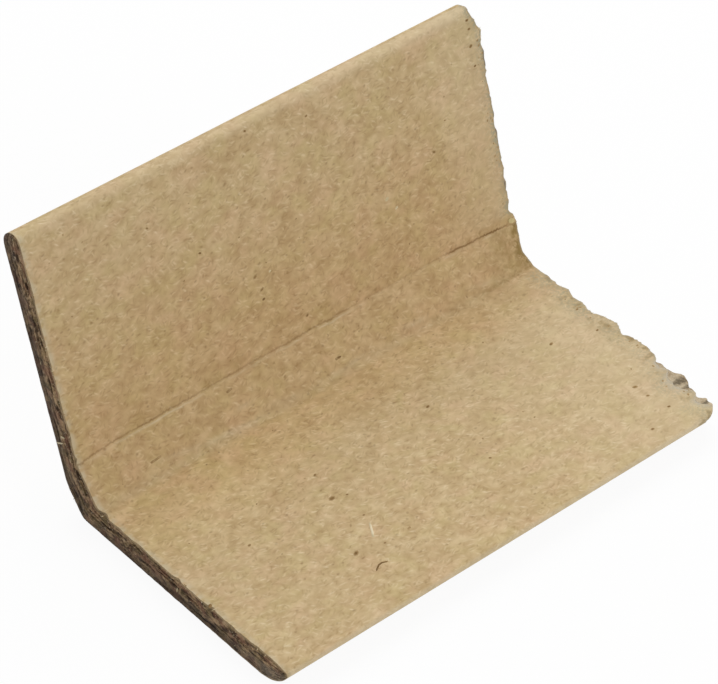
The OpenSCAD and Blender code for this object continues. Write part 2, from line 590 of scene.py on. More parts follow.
def cut_cap(start_in, start_out):
    """Depths, distances from the cut end and shares of a hole, here none, of the points in the cut cap."""
    u, depth = np.meshgrid(columns, ply_depths())
    ply = ply_at(depth)
    kept = noise("ply kept", u, ply * SETBACK_APART).clip(0, MOST_SETBACK)
    setback = np.where(ply % 2 == 1, PLY_SETBACK, EVEN_SETBACK * PLY_SETBACK) * kept
    lumps = noise("cut lump", u, depth * BOARD_T) + noise("cut grain", u, depth * BOARD_T)
    facing = np.where(depth < 0.5, start_in, start_out)
    in_facing = (ply < 0) | (ply >= PLY_COUNT)
    x = np.where(in_facing, FACING_SETBACK * facing, setback + lumps + CUT_REST).clip(-CUT_PROUD)
    return depth + noise("ply line", u, ply * LINE_APART), x, np.zeros(depth.shape)


def torn_cap():
    """Depths, distances from the cut end and shares of a hole of the points in the torn cap."""
    u, depth = np.meshgrid(columns, TORN_LEDGE + TORN_MIDDLE + TORN_LAST)
    lumps = noise("core lump", u, depth * BOARD_T)
    layers = noise("core layer", u, ply_at(depth) * LAYER_APART)
    core = reach + (lumps + layers - CORE_SINK).clip(-CORE_DEEPEST, CORE_OVER) - tip_worn(u)
    for place, half, height in SWELLS:
        core = core + height * bump(u, place, half)
    out_of_facing = smooth(depth, 0, TORN_LEDGE[-1]) * smooth(1 - depth, 0, 1 - TORN_LAST[0])
    edge = np.where(depth < 0.5, inside_end, outside_end)
    x = edge + (core - edge).clip(0) * out_of_facing
    sloping = smooth(u, U_TIP + TIP_SLOPE_REACH, U_TIP)
    x = x - sloping * (x - outside_end).clip(0) * smooth(depth, TIP_SLOPE_START, 1)
    hole = np.zeros(depth.shape)
    for place, middle_depth, half, sunk in HOLES:
        near = bump(u, place, half) * bump(depth, middle_depth, HOLE_DEPTH_W)
        hole = np.maximum(hole, near)
        x = x - sunk * near
    grain = noise("torn grain", u, x) * smooth(depth, 0, TORN_RIM) * smooth(1 - depth, 0, TORN_RIM)
    return depth + grain, x, hole


def cap_faces(ring_inner, ring_outer, inside_points):
    """Faces of a cap. Its first and last columns are single points where the two faces meet."""
    grid = np.concatenate([ring_inner[None], inside_points, ring_outer[None]])
    faces = []
    last = grid.shape[1] - 1
    for i in range(grid.shape[0] - 1):
        faces.append((grid[i, 1], grid[i + 1, 1], ring_inner[0]))
        for k in range(1, last - 1):
            faces.append((grid[i, k], grid[i, k + 1], grid[i + 1, k + 1], grid[i + 1, k]))
        faces.append((grid[i, last - 1], ring_inner[last], grid[i + 1, last - 1]))
    return faces


FACING_MATERIAL, CUT_MATERIAL, TORN_MATERIAL = range(3)
SHARP_ANGLE = math.radians(38)
# Where the outside's own coordinate changes over, under the lower leg and out of sight
SEAM = 22.0


def around(u, side):
    """Distance around the section, which runs on from the inside to the outside over both long edges."""
    if side == 0:
        return u
    return np.where(u < SEAM, -u, U_END + outside.lengths[-1] - u)


# Tones of the faces

# Attributes that carry the tones to the materials. The last has a place to spare
TONE_SETS = {
    "tone": ("crease", "brown", "pale"),
    "edges": ("frayed", "olive", "off"),
    "shift": ("grey", "warm", "spare"),
}
# Distance given to places that have no crease near them
FAR_OFF = 10.0
# Painted highlight on the lip under the crease: distance from the cut end, share of the full highlight
LIP_HIGHLIGHT = (
    [0, 8, 14, 21, 27, 50, 56, 62, 74, 80, 92, 97],
    [0.3, 0.5, 1, 1, 0.5, 0.6, 1, 0.3, 0.2, 0.6, 0.8, 0.4],
)
LIP_HIGHLIGHT_W = 0.75 * LIP_W
# Painted warm bounce light on the lower leg, which makes it warmer and lighter near the corner: distances
# from the corner where it is full and ends, and more near the cut end
WARM_FULL = 5
WARM_REACH = 14
WARM_MORE = 12
WARM_MORE_X = (50, 15)
# Bare places where the facing is torn back: spread past their width, fray, and its reach behind the edge
BARE_SPREAD = 1.2
BARE_FRAY = 0.8
BARE_REACH = 1.2
BARE_REACH_GAIN = 0.4
BARE_FULL = 0.1
UPPER_FRAY_LOSS = 0.75
# Parts of the inside face, by the distances along it where each starts and is full
LOWER = ("u", U_CORNER, U_CORNER - 2)
STRIP = (("u", U_CORNER - 0.5, U_CORNER + 1.5), ("u", U_CREASE + 0.3, U_CREASE - 0.3))
UNDER_STRIP = (("u", U_CORNER + 2, U_CORNER - 1), ("u", U_CORNER - 16, U_CORNER))
UPPER = ("u", U_CREASE + 1, U_CREASE + 3)
TOP = ("u", U_TOP + 0.5, U_TOP + 3)
# A tone is its strength times its factors, which are fields as they are or eased between two of their values
FRAY = ("frayed", 0.75, ("behind", 0.4, 0.05), ("patches",))
# The outside's pale tone is painted light along the tip's edge
OUTSIDE_TONES = [FRAY, ("pale", 0.45, ("u", U_TIP + 0.6, 0.2))]
INSIDE_TONES = [
    FRAY,
    # Painted shade along the scored crease, as strong as it is pressed
    ("crease", 1.0, ("pressed",)),
    # Painted shade near the folds: full around the corner, some below it under the strip, and less up the
    # upper leg
    ("brown", 1.0, ("u", U_CORNER - 1, U_CORNER + 2)),
    ("brown", 0.225, *UNDER_STRIP),
    ("brown", 0.275, *UNDER_STRIP, ("x", 8, 38)),
    ("brown", -0.8, ("u", U_CREASE + 2, U_TOP)),
    # Painted warm bounce light on the lower leg near the corner, weaker away from the cut end
    ("warm", 1.0, LOWER, ("near corner",), ("x", 90, 75)),
    ("warm", -0.4, LOWER, ("near corner",), ("x", 90, 75), ("x", 20, 50)),
    # Painted light along the tip's edge, where the underside's curve turns from the light
    ("pale", 0.45, ("u", U_TIP, 0.2)),
    # Painted highlights on the lip under the crease and on the ridges of the corner
    ("pale", 0.32, ("lip",)),
    ("pale", 0.3, ("ridges",)),
    # Painted highlight on the rounded top edge
    ("pale", 0.2, TOP),
    ("pale", 0.14, TOP, ("x", 30, 80)),
    # Painted light, lighter towards the torn end
    ("pale", 0.22, ("u", U_CORNER - 2, U_CORNER - 16), ("x", 50, 92)),
    ("pale", 0.2, UPPER, ("x", 80, 93)),
    ("pale", 0.1, LOWER, ("x", 80, 93)),
    ("grey", 0.16, UPPER, ("behind", 4, 1.2), ("clouds",)),
    ("grey", 0.6, UPPER, ("behind", 1.6, 0), ("clouds",)),
    ("grey", 0.4, LOWER, ("behind", 5, 1.5), ("clouds",)),
    # Painted shade in the fold line of the corner
    ("olive", 0.7, ("fold line",)),
    ("olive", 0.8, ("u", 24, 9), ("x", 1.8, 0.4), ("patches",)),
    ("olive", 1.0, *STRIP, ("behind", 2.4, 0.4)),
    ("olive", 0.55, *STRIP, ("behind", 12, 3)),
    ("olive", 0.35, LOWER, ("behind", 2.5, 0.1), ("patches",)),
    ("olive", 1.0, LOWER, ("behind", 4.5, 1), ("flecks", 0.2, 0.5)),
    ("olive", 0.3, ("behind", 1.2, 0.1), ("patches",)),
]
# Painted shade in a thin rim along the upper leg's torn edge
RIM_TONES = [("olive", 0.9, UPPER, ("behind", 0.45, 0.05))]


def gather(tones, fields, table):
    """Add a table's tones to those of a face."""
    for tone, amount, *factors in table:
        for name, *ends in factors:
            amount = amount * (smooth(fields[name], *ends) if ends else fields[name])
        tones[tone] = tones[tone] + amount


def inside_fields(x, u, off):
    """Fields that only the inside face has."""
    lip = np.interp(x, *LIP_HIGHLIGHT) * noise("lip", x).clip(0)
    warm_reach = WARM_REACH + WARM_MORE * smooth(x, *WARM_MORE_X)
    return {
        "pressed": pressed(x),
        "ridges": ridges(x, u),
        "fold line": fold_line(x, u),
        "lip": lip * bump(off, -LIP_OFFSET, LIP_HIGHLIGHT_W),
        "near corner": smooth(u, U_CORNER - warm_reach, U_CORNER - WARM_FULL),
        "clouds": noise("clouds", x, u),
        "flecks": noise("flecks", x, u),
    }


def fray_bare_places(tones, u, behind):
    """Fray the places where the facing is torn back, in place of their olive, and the upper leg less."""
    for place, width, depth in TORN_BACK:
        near = plateau(u, place, BARE_SPREAD * width) * min(1, depth)
        bare_reach = BARE_REACH + BARE_REACH_GAIN * depth
        tones["frayed"] += BARE_FRAY * near * smooth(behind, bare_reach, BARE_FULL)
        tones["olive"] *= 1 - near
    tones["frayed"] *= 1 - UPPER_FRAY_LOSS * smooth(u, *UPPER[1:])


def face_layers(x, u, side, end):
    """Values of a face that the materials read: its tones, and its place on the unrolled board."""
    u = u + np.zeros(x.shape)
    tones = {name: np.zeros(x.shape) for names in TONE_SETS.values() for name in names}
    fields = {"x": x, "u": u, "behind": end - x, "patches": noise("patches", x, u)}
    if side == 0:
        tones["off"] += score_offset(x, u)
        fields |= inside_fields(x, u, tones["off"])
        gather(tones, fields, INSIDE_TONES)
        fray_bare_places(tones, u, end - x)
        gather(tones, fields, RIM_TONES)
    else:
        tones["off"] += FAR_OFF
        gather(tones, fields, OUTSIDE_TONES)
    layers = {name: np.stack([tones[tone] for tone in names], -1) for name, names in TONE_SETS.items()}
    layers["place"] = np.stack([x, around(u, side), side + 0 * x], -1)
    return layers


def linked(name, data):
    """A new object in the scene."""
    made = bpy.data.objects.new(name, data)
    bpy.context.scene.collection.objects.link(made)
    return made


def smoothed_piece(name, mesh, sharp_angle):
    """A piece made of a mesh, with its faces turned outward and shaded smooth up to a sharp angle."""
    work = bmesh.new()
    work.from_mesh(mesh)
    bmesh.ops.recalc_face_normals(work, faces=work.faces)
    work.to_mesh(mesh)
    work.free()
    mesh.shade_smooth()
    mesh.set_sharp_from_angle(angle=sharp_angle)
    return linked(name, mesh)


def build_board():
    start_in = facing_cut(columns, 0)
    start_out = facing_cut(columns, 1)
    x_in, section_in = shell_surface(columns, inner, facing_way, inside_relief, start_in, inside_end)
    x_out, section_out = shell_surface(
        outer_columns, outer, facing_way, outside_relief, start_out, outside_end
    )
    row_count, column_count = x_in.shape
    ring_size = 2 * column_count - 2
    back = slice(-2, 0, -1)

    def ringed(a, b):
        """Rows of the inside and of the outside, joined into rings."""
        return np.concatenate([a, b[:, back]], 1).reshape(-1, 3)

    layers_in = face_layers(x_in, columns, 0, inside_end)
    layers_out = face_layers(x_out, outer_columns, 1, outside_end)
    layers = {name: [ringed(values, layers_out[name])] for name, values in layers_in.items()}
    points = [ringed(placed(x_in, section_in), placed(x_out, section_out))]

    index = np.arange(row_count * ring_size).reshape(row_count, ring_size)
    faces = []
    for r in range(ring_size):
        n = (r + 1) % ring_size
        faces += zip(index[:-1, r], index[1:, r], index[1:, n], index[:-1, n])
    materials = [FACING_MATERIAL] * len(faces)

    count = row_count * ring_size
    caps = [
        (0, cut_cap(start_in, start_out), CUT_MATERIAL),
        (row_count - 1, torn_cap(), TORN_MATERIAL),
    ]
    for row, (depth, x, hole), material in caps:
        first = section_in[row]
        last = section_out[row]
        section = first + depth[..., None] * (last - first)
        inner_row = index[row, :column_count]
        outer_row = np.concatenate([inner_row[:1], index[row, column_count:][::-1], inner_row[-1:]])
        own = np.full(depth.shape, -1)
        own[:, 1:-1] = count + np.arange(own[:, 1:-1].size).reshape(-1, column_count - 2)
        count += own[:, 1:-1].size
        points.append(placed(x, section)[:, 1:-1].reshape(-1, 3))
        values = {name: np.zeros((*depth.shape, 3)) for name in layers}
        values["place"] = np.stack([x, columns + 0 * x, depth], -1)
        values["tone"][..., 0] = hole
        for name, parts in layers.items():
            parts.append(values[name][:, 1:-1].reshape(-1, 3))
        cap = cap_faces(inner_row, outer_row, own)
        faces += cap
        materials += [material] * len(cap)

    mesh = bpy.data.meshes.new("kraft_angle")
    mesh.from_pydata(np.concatenate(points).tolist(), [], [[int(i) for i in f] for f in faces])
    mesh.polygons.foreach_set("material_index", materials)
    for name, parts in layers.items():
        layer = mesh.attributes.new(name, "FLOAT_VECTOR", "POINT")
        layer.data.foreach_set("vector", np.concatenate(parts).astype(np.float32).ravel())
    board = smoothed_piece("kraft_angle", mesh, SHARP_ANGLE)
    for material in (kraft_facing(), cut_plies(), torn_core()):
        mesh.materials.append(material)
    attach(board, "root")
    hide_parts("angle_board")


# Materials


def srgb(r, g, b):
    """Linear colour of an sRGB one given from 0 to 255."""
    linear = [(c / 255 / 12.92) if c < 10.3 else ((c / 255 + 0.055) / 1.055) ** 2.4 for c in (r, g, b)]
    return (*linear, 1.0)


# Turn of the noise's lattice, in radians, so that no face of the board lies along it
LATTICE_TURN = (0.62, 0.41, 0.33)


class Nodes:
    """A node tree, with short calls to fill it."""

    def __init__(self, tree):
        self.tree = tree

    def add(self, kind, inputs, **settings):
        node = self.tree.nodes.new(kind)
        for name, value in settings.items():
            setattr(node, name, value)
        for name, value in inputs.items():
            self.set(node.inputs[name], value)
        return node

    def set(self, socket, value):
        if isinstance(value, bpy.types.NodeSocket):
            self.tree.links.new(value, socket)
        else:
            socket.default_value = value

    def math(self, operation, *values):
        return self.add("ShaderNodeMath", dict(enumerate(values)), operation=operation).outputs[0]


class Shader(Nodes):
    """One material's nodes."""

    SPECULAR = 0.2
    # Places of a mix node's factor and two colours, and of its mixed colour
    MIX_INPUTS = (0, 6, 7)
    MIX_OUTPUT = 2
    # Distances from a stroke's middle where it starts and is full, as shares of its spacing
    STROKE_EDGE = (0.36, 0.04)

    def __init__(self, name):
        self.material = bpy.data.materials.new(name)
        self.material.use_nodes = True
        super().__init__(self.material.node_tree)
        self.surface = self.tree.nodes["Principled BSDF"]

    def attribute(self, name):
        return self.add("ShaderNodeAttribute", {}, attribute_name=name).outputs["Vector"]

    def axis(self, vector, name):
        return self.add("ShaderNodeSeparateXYZ", {"Vector": vector}).outputs[name]

    def spot(self, stretch):
        """Object coordinates in millimetres, stretched along each axis and turned away from the faces."""
        source = self.add("ShaderNodeTexCoord", {}).outputs["Object"]
        scale = [s / MM for s in stretch]
        inputs = {"Vector": source, "Scale": scale, "Rotation": LATTICE_TURN}
        return self.add("ShaderNodeMapping", inputs).outputs["Vector"]

    def scaled(self, vector, scale):
        return self.add("ShaderNodeMapping", {"Vector": vector, "Scale": scale}).outputs["Vector"]

    def noises(self, table, place=None):
        """The noises of a table by name, over the object or over places on the board."""
        found = {}
        for name, (stretch, scale, detail, roughness) in table.items():
            vector = self.scaled(place, stretch) if place else self.spot(stretch)
            inputs = {"Vector": vector, "Scale": scale, "Detail": detail, "Roughness": roughness}
            found[name] = self.add("ShaderNodeTexNoise", inputs).outputs["Fac"]
        return found

    def bent(self, vector, scale, amount):
        """The same coordinates, pushed about by noise."""
        push = self.add("ShaderNodeTexNoise", {"Vector": vector, "Scale": scale}).outputs["Color"]
        inputs = {0: push, 1: (amount, amount, 0), 2: vector}
        return self.add("ShaderNodeVectorMath", inputs, operation="MULTIPLY_ADD").outputs["Vector"]

    def strokes(self, place, turn, length, width, chance):
        """Short strokes strewn over a face, at an angle to its length, each with a strength of its own."""
        turned = self.add(
            "ShaderNodeMapping",
            {"Vector": place, "Rotation": (0, 0, math.radians(turn)), "Scale": (length, width, 1)},
            vector_type="TEXTURE",
        )
        inputs = {"Vector": turned.outputs["Vector"], "Scale": 1.0}
        node = self.add("ShaderNodeTexVoronoi", inputs, voronoi_dimensions="2D")
        strength = self.ramp(self.axis(node.outputs["Color"], "X"), 1 - chance, 1)
        return self.math("MULTIPLY", self.ramp(node.outputs["Distance"], *self.STROKE_EDGE), strength)

    def ramp(self, value, low, high, to_low=0.0, to_high=1.0):
        inputs = {"Value": value, "From Min": low, "From Max": high, "To Min": to_low, "To Max": to_high}
        node = self.add("ShaderNodeMapRange", inputs, interpolation_type="SMOOTHSTEP")
        return node.outputs["Result"]

    def mix(self, factor, a, b, blend_type="MIX"):
        inputs = dict(zip(self.MIX_INPUTS, (factor, a, b)))
        node = self.add("ShaderNodeMix", inputs, data_type="RGBA", blend_type=blend_type)
        return node.outputs[self.MIX_OUTPUT]

    def product(self, sources, factors):
        """Product of sources, each taken as it is or through a ramp."""
        total = 1.0
        for name, *ends in factors:
            value = self.ramp(sources[name], *ends) if ends else sources[name]
            total = self.math("MULTIPLY", total, value)
        return total

    def tinted(self, colour, sources, tints):
        """A colour under tints, each as strong as the product of its sources."""
        for tint, *factors in tints:
            colour = self.mix(self.product(sources, factors), colour, srgb(*tint))
        return colour

    def finish(self, colour, height, strength, distance, roughness):
        inputs = {"Height": height, "Strength": strength, "Distance": distance * MM}
        bumped = self.add("ShaderNodeBump", inputs).outputs["Normal"]
        values = {"Base Color": colour, "Normal": bumped, "Roughness": roughness}
        values["Specular IOR Level"] = self.SPECULAR
        for name, value in values.items():
            self.set(self.surface.inputs[name], value)
        return self.material


# In the tables below, a noise is its stretch along each axis, scale, detail and roughness. A tint is its
# colour and its sources, each with the values at the ends of its ramp and the strengths there. A finish is
# the strength and the depth in millimetres of the bump, and the roughness
EVEN = (1, 1, 1)
STREAKY = (0.82, 1, 1)

FACING_NOISES = {
    "mottle": (STREAKY, 0.8, 2.0, 0.55),
    "drift": (STREAKY, 0.35, 1.0, 0.5),
    "cloud": (STREAKY, 0.16, 2.0, 0.5),
    "green": (STREAKY, 0.24, 1.5, 0.6),
    "rosy": ((0.7, 1.1, 0.9), 0.24, 1.5, 0.6),
    "grain": (EVEN, 2.0, 1.0, 0.5),
    "grains": (EVEN, 2.2, 2.0, 0.6),
    "blotch": (EVEN, 1.1, 2.0, 0.6),
}
FACING_COLOUR = (190, 165, 124)
FACING_TINTS = [
    ((201, 178, 138), ("drift", 0.3, 0.7)),
    ((186, 160, 118), ("cloud", 0.35, 0.65, 0, 0.4)),
    ((193, 175, 124), ("green", 0.42, 0.7, 0, 0.42)),
    ((206, 175, 140), ("rosy", 0.45, 0.7, 0, 0.4)),
]
# Shades multiplied into the facing: by the mottle, by the grain, by the painted shade near the folds and by
# the painted warm bounce light near the corner
MOTTLE_RAMP = (0.22, 0.78)
MOTTLE_SHADES = ((0.88, 0.855, 0.815, 1), (1.135, 1.165, 1.22, 1))
GRAIN_RAMP = (0.3, 0.7, 0, 0.3)
GRAIN_SHADE = (1.02, 1.03, 1.04, 1)
TONE_SHADES = [("brown", (0.97, 0.9, 0.83, 1)), ("warm", (1.08, 1.06, 1.0, 1))]
# Fibres in the facing: angle to the length, spacing along and across, chance, colour, strength
FIBRES = [
    (6, 2.8, 0.66, 0.55, (150, 121, 78), 0.38),
    (-28, 2.4, 0.66, 0.5, (154, 125, 82), 0.34),
    (44, 2.2, 0.7, 0.5, (150, 121, 78), 0.32),
    (80, 2.0, 0.66, 0.4, (150, 121, 78), 0.3),
    (-15, 2.8, 0.66, 0.5, (232, 215, 180), 0.34),
    (22, 2.2, 0.64, 0.5, (230, 212, 176), 0.32),
    (-62, 2.0, 0.66, 0.45, (230, 212, 176), 0.3),
    (15, 1.3, 0.9, 0.12, (128, 100, 60), 0.45),
    (-40, 2.0, 0.7, 0.12, (236, 220, 186), 0.4),
]
# How the fibres are bent: scale of the noise and push in millimetres
FIBRE_BEND = (0.5, 0.9)
# Painted shade along the crease: noise that makes it ragged, push of that noise, dark core, soft halo,
# strength
LINE_NOISE = {"ragged": ((1, 0, 0), 1.5, 2.0, 0.6)}
LINE_PUSH = (0.2, 0.8, -0.2, 0.2)
LINE_CORE = (0.33, 0.05, 0, 1.15)
LINE_HALO = (1.0, 0.1, 0, 0.18)
LINE_STRENGTH = 0.85
BLOTCH_RAMP = (0.3, 0.65, 0.25, 1.0)
STAIN_AND_SHADE_STRENGTH = 0.85
# Covers over the facing: painted light from the pale tone, a paler margin along the cut, stains and painted
# shade from the olive tone, painted shade along the crease, grey near the tear, and fray
FACING_COVERS = [
    ((214, 198, 166), ("pale",)),
    ((196, 183, 154), ("x", 1.5, 0.1), ("mottle", 0.35, 0.6, 0.1, 0.75)),
    ((146, 121, 74), ("stain",)),
    ((116, 86, 46), ("line",)),
    ((166, 157, 130), ("grey",), ("grains", 0.36, 0.64, 0.05, 1.35)),
    ((186, 176, 156), ("frayed",), ("blotches", 0.3, 0.9, 0.45, 1.0)),
]
FACING_FINISH = (0.15, 0.05, 0.85)

CUT_NOISES = {
    "speck": (EVEN, 1.8, 2.0, 0.6),
    "grey": (EVEN, 0.3, 1.0, 0.5),
    "tint": (EVEN, 0.42, 1.0, 0.5),
}
CUT_LAYERS = {
    "patch": ((0, 0.45, BOARD_T), 0.9, 3.0, 0.65),
    "streak": ((0, 0.25, 12), 1.0, 2.0, 0.6),
    "drift": ((0, 0.12, 0), 1.0, 1.0, 0.5),
}
# Base colour of the plies: their own dark brown, made darker as painted shade of the cut end, which faces
# away from the light
CUT_COLOUR_AND_SHADE = (56, 40, 25)
# Facing seen at the edge of the cut, and around the tip
CUT_RIM = [("depth", 0.14, 0.04), ("speck", 0.3, 0.6, 0.35, 0.85)]
CUT_TIP = (1.4, 0.5)
CUT_TINTS = [
    ((184, 154, 118), ("patch", 0.37, 0.63)),
    ((66, 50, 36), ("streak", 0.35, 0.5, 0.55, 0)),
    ((60, 44, 32), ("speck", 0.5, 0.68, 0, 0.75)),
    ((192, 172, 146), ("speck", 0.42, 0.28, 0, 0.7)),
    ((134, 96, 76), ("tint", 0.5, 0.66, 0, 0.55)),
    ((104, 94, 58), ("tint", 0.46, 0.32, 0, 0.4)),
    ((112, 102, 93), ("depth", 0.3, 0.75, 0, 0.4), ("grey", 0.35, 0.55, 0.3, 0.9)),
    ((58, 48, 42), ("depth", 0.58, 0.85), ("drift", 0.35, 0.6, 0.2, 0.6), ("u", 8, 18)),
    ((156, 142, 124), ("depth", 0.3, 0.6), ("u", 14, 4, 0, 0.4)),
    ((172, 150, 114), ("edge",)),
]
CUT_FINISH = (0.6, 0.14, 0.95)

TORN_NOISES = {
    "lump": (EVEN, 0.7, 2.0, 0.5),
    "fluff": (EVEN, 3.0, 2.0, 0.6),
    "pits": (EVEN, 1.6, 2.0, 0.6),
}
TORN_LAYERS = {"layer": ((0, 0.3, BOARD_T), 0.9, 3.0, 0.6)}
TORN_COLOUR = (148, 128, 100)
PITS_RAMP = (0.25, 0.75, -0.3, 0.3)
TORN_TINTS = [
    ((198, 182, 154), ("layer", 0.35, 0.65)),
    ((206, 192, 166), ("fluff", 0.42, 0.7, 0, 0.45)),
    ((124, 106, 83), ("lump", 0.45, 0.3, 0, 0.45)),
    # Painted shade in the torn core next to the inside facing of the upper leg, in the gap behind the
    # facing's edge
    ((104, 95, 82), ("depth", 0.14, 0.05), ("u", U_CREASE, U_CREASE + 4, 0, 0.75)),
    # Painted shade in the holes and pits of the torn core
    ((98, 88, 70), ("hollow", 0.15, 0.9, 0, 0.85)),
]
TORN_FINISH = (0.7, 0.2, 1.0)

FIBRE_NOISES = {"shade": (EVEN, 0.9, 2.0, 0.5), "grain": (EVEN, 6.0, 2.0, 0.5)}
FIBRE_SHADE = ("shade", 0.35, 0.65)
FIBRE_FINISH = (0.4, 0.02, 0.9)


def crease_shade_line(s, place, sources):
    """Strength of the painted shade along the crease."""
    ragged = s.ramp(s.noises(LINE_NOISE, place)["ragged"], *LINE_PUSH)
    across = s.math("ABSOLUTE", s.math("ADD", sources["off"], ragged))
    line = s.math("ADD", s.ramp(across, *LINE_CORE), s.ramp(across, *LINE_HALO))
    return s.math("MULTIPLY", s.math("MULTIPLY", line, sources["crease"]), LINE_STRENGTH)


def kraft_facing():
    s = Shader("kraft_facing")
    place = s.attribute("place")
    sources = s.noises(FACING_NOISES)
    sources["x"] = s.axis(place, "X")
    for name, tones in TONE_SETS.items():
        values = s.attribute(name)
        sources |= {tone: s.axis(values, axis) for axis, tone in zip("XYZ", tones)}
    sources["blotches"] = s.ramp(sources["blotch"], *BLOTCH_RAMP)
    # Stains, with painted shade in the fold line and along the upper leg's torn edge
    stain = s.math("MULTIPLY", sources["olive"], sources["blotches"])
    sources["stain"] = s.math("MULTIPLY", stain, STAIN_AND_SHADE_STRENGTH)
    sources["line"] = crease_shade_line(s, place, sources)
    colour = s.tinted(srgb(*FACING_COLOUR), sources, FACING_TINTS)
    shade = s.mix(s.ramp(sources["mottle"], *MOTTLE_RAMP), *MOTTLE_SHADES)
    shade = s.mix(s.ramp(sources["grain"], *GRAIN_RAMP), shade, GRAIN_SHADE)
    colour = s.mix(1.0, colour, shade, "MULTIPLY")
    bent = s.bent(place, *FIBRE_BEND)
    for turn, length, width, chance, stroke, strength in FIBRES:
        amount = s.math("MULTIPLY", s.strokes(bent, turn, length, width, chance), strength)
        colour = s.mix(amount, colour, srgb(*stroke))
    for tone, shade in TONE_SHADES:
        colour = s.mix(sources[tone], colour, shade, "MULTIPLY")
    colour = s.tinted(colour, sources, FACING_COVERS)
    height = s.math("ADD", sources["mottle"], sources["grain"])
    return s.finish(colour, height, *FACING_FINISH)


def end_sources(s, noises, layers):
    """Noises of an end of the board, with the distance along its section and the depth in it."""
    place = s.attribute("place")
    sources = s.noises(noises) | s.noises(layers, place)
    return sources | {"u": s.axis(place, "Y"), "depth": s.axis(place, "Z")}


def cut_plies():
    s = Shader("cut_plies")
    sources = end_sources(s, CUT_NOISES, CUT_LAYERS)
    at_tip = s.ramp(sources["u"], *CUT_TIP)
    sources["edge"] = s.math("MAXIMUM", s.product(sources, CUT_RIM), at_tip)
    colour = s.tinted(srgb(*CUT_COLOUR_AND_SHADE), sources, CUT_TINTS)
    height = s.math("ADD", sources["patch"], sources["speck"])
    return s.finish(colour, height, *CUT_FINISH)


def torn_core():
    s = Shader("torn_core")
    sources = end_sources(s, TORN_NOISES, TORN_LAYERS)
    hole = s.axis(s.attribute("tone"), "X")
    sources["hollow"] = s.math("ADD", hole, s.ramp(sources["pits"], *PITS_RAMP))
    colour = s.tinted(srgb(*TORN_COLOUR), sources, TORN_TINTS)
    height = s.math("ADD", sources["layer"], sources["fluff"])
    return s.finish(colour, height, *TORN_FINISH)


def fibre_material(name, dark, light):
    s = Shader(name)
    sources = s.noises(FIBRE_NOISES)
    colour = s.tinted(srgb(*dark), sources, [(light, FIBRE_SHADE)])
    return s.finish(colour, sources["grain"], *FIBRE_FINISH)


# Specks and fibres, each a small closed piece seated on the board

SEED = 7
rng = np.random.default_rng(SEED)


class Bits:
    """Small closed pieces that share one mesh, in millimetres."""

    SIDES = 6
    SHARP_ANGLE = math.radians(80)
    # Share of the upward way past which a fibre counts as upright
    UPRIGHT = 0.9

    def __init__(self):
        self.points = []
        self.faces = []

    def ring(self, centre, half_a, half_b):
        """Points around a centre, with two half axes."""
        for k in range(self.SIDES):
            angle = 2 * math.pi * k / self.SIDES
            self.points.append(centre + math.cos(angle) * half_a + math.sin(angle) * half_b)

    def flake(self, centre, half_a, half_b, rise):
        """A flat flake with two half axes, which rises above its centre and sinks as far below."""
        first = len(self.points)
        self.ring(centre, half_a, half_b)
        self.points += [centre + rise, centre - rise]
        for k in range(self.SIDES):
            a = first + k
            b = first + (k + 1) % self.SIDES
            self.faces += [(a, b, first + self.SIDES), (b, a, first + self.SIDES + 1)]

    def strand(self, line, radius):
        """A fibre along a line of points, pointed at both ends."""
        line = np.array(line)
        first = len(self.points)
        rings = len(line) - 2
        for before, point, after in zip(line, line[1:], line[2:]):
            way = (after - before) / np.linalg.norm(after - before)
            side = np.cross(way, [0, 0, 1] if abs(way[2]) < self.UPRIGHT else [0, 1, 0])
            side = side / np.linalg.norm(side)
            self.ring(point, radius * side, radius * np.cross(side, way))
        self.points += [line[0], line[-1]]
        ends = first + rings * self.SIDES
        for k in range(self.SIDES):
            n = (k + 1) % self.SIDES
            self.faces.append((first + n, first + k, ends))
            self.faces.append((ends - self.SIDES + k, ends - self.SIDES + n, ends + 1))
            for ring in range(rings - 1):
                start = first + ring * self.SIDES
                self.faces.append((start + k, start + n, start + self.SIDES + n, start + self.SIDES + k))

    def finish(self, name, material):
        mesh = bpy.data.meshes.new(name)
        mesh.from_pydata((np.array(self.points) * MM).tolist(), [], self.faces)
        piece = smoothed_piece(name, mesh, self.SHARP_ANGLE)
        mesh.materials.append(material)
        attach(piece, "root")


def over_columns(values, u):
    """Values given at the columns, read off at any place of the section."""
    return np.stack([np.interp(u, columns, values[:, axis]) for axis in (0, 1)], -1)


def face_point(x, u, lift=0.0):
    """Point in the part's frame on the inside face, or above it by a lift, in millimetres."""
    way = over_columns(facing_way, u)
    section = inside.at(u) + (inside_relief(np.array(x), np.array(u)) + lift) * way / np.linalg.norm(way)
    return np.array([x + CUT_X, section[0] + corner_y, section[1]])


def core_point(x, u, depth):
    """Point in the part's frame within the board, at a share of its thickness."""
    section = (1 - depth) * over_columns(inner, u) + depth * over_columns(outer, u)
    return np.array([x + CUT_X, section[0] + corner_y, section[1]])


# Flakes: width as a share of the length, rise above the face, and the step that measures the face's slope
FLAKE_WIDTH = 0.65
FLAKE_RISE = 0.05
FAINT_RISE = 0.03
SLOPE_STEP = 0.1


def seat_flake(bits, x, u, half, turn, rise=FLAKE_RISE, lift=0.0):
    """Lay a flake on the inside face, longer one way than the other."""
    along_x = np.array([1.0, 0, 0])
    along_u = (face_point(x, u + SLOPE_STEP) - face_point(x, u - SLOPE_STEP)) / (2 * SLOPE_STEP)
    cos, sin = math.cos(turn), math.sin(turn)
    half_long = half * (cos * along_x + sin * along_u)
    half_wide = FLAKE_WIDTH * half * (cos * along_u - sin * along_x)
    bits.flake(face_point(x, u, lift), half_long, half_wide, rise * np.cross(along_x, along_u))


